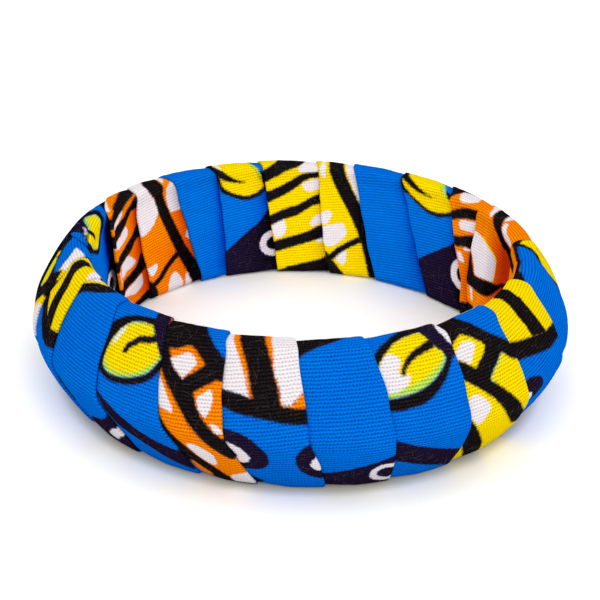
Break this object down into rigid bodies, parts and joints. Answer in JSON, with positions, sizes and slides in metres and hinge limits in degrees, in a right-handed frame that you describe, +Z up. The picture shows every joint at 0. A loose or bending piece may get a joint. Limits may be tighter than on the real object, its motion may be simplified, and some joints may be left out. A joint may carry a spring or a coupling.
{
  "type": "fabric-wrapped bangle bracelet",
  "caption": "Rigid round bangle wound all the way round with a slanting, overlapping strip of boldly printed cotton; flat inside, bulging outside.",
  "frame": {"origin": "centre of the ring on the surface that it lies on", "axes": "+Z up along the ring's axis, through the wrist hole; -Y towards the viewer of the reference view, +X to the right"},
  "size_m": [0.0845, 0.0846, 0.0213],
  "materials": {
    "wooden_core": "plain turned wood, hidden",
    "cotton_orange_strokes": "plain-weave printed cotton, slightly fuzzy",
    "cotton_orange_ladder": "plain-weave printed cotton, slightly fuzzy",
    "cotton_yellow_strokes": "plain-weave printed cotton, slightly fuzzy",
    "cotton_yellow_ladder": "plain-weave printed cotton, slightly fuzzy",
    "cotton_plain_blue": "plain-weave printed cotton, slightly fuzzy",
    "cotton_bud": "plain-weave printed cotton, slightly fuzzy"
  },
  "bodies": {
    "root": {"core_ring": "wooden_core", "wrap_01": "cotton_orange_strokes", "wrap_02": "cotton_orange_ladder", "wrap_03": "cotton_bud", "wrap_04": "cotton_plain_blue", "wrap_05": "cotton_yellow_strokes", "wrap_06": "cotton_yellow_ladder", "wrap_07": "cotton_bud", "wrap_08": "cotton_plain_blue", "wrap_09": "cotton_orange_strokes", "wrap_10": "cotton_orange_ladder", "wrap_11": "cotton_bud", "wrap_12": "cotton_plain_blue", "wrap_13": "cotton_yellow_ladder", "wrap_14": "cotton_plain_blue", "wrap_15": "cotton_bud", "wrap_16": "cotton_orange_strokes", "wrap_17": "cotton_orange_ladder", "wrap_18": "cotton_plain_blue", "wrap_19": "cotton_bud", "wrap_20": "cotton_yellow_strokes", "wrap_21": "cotton_yellow_ladder", "wrap_22": "cotton_plain_blue", "wrap_23": "cotton_bud"}
  },
  "joints": []
}
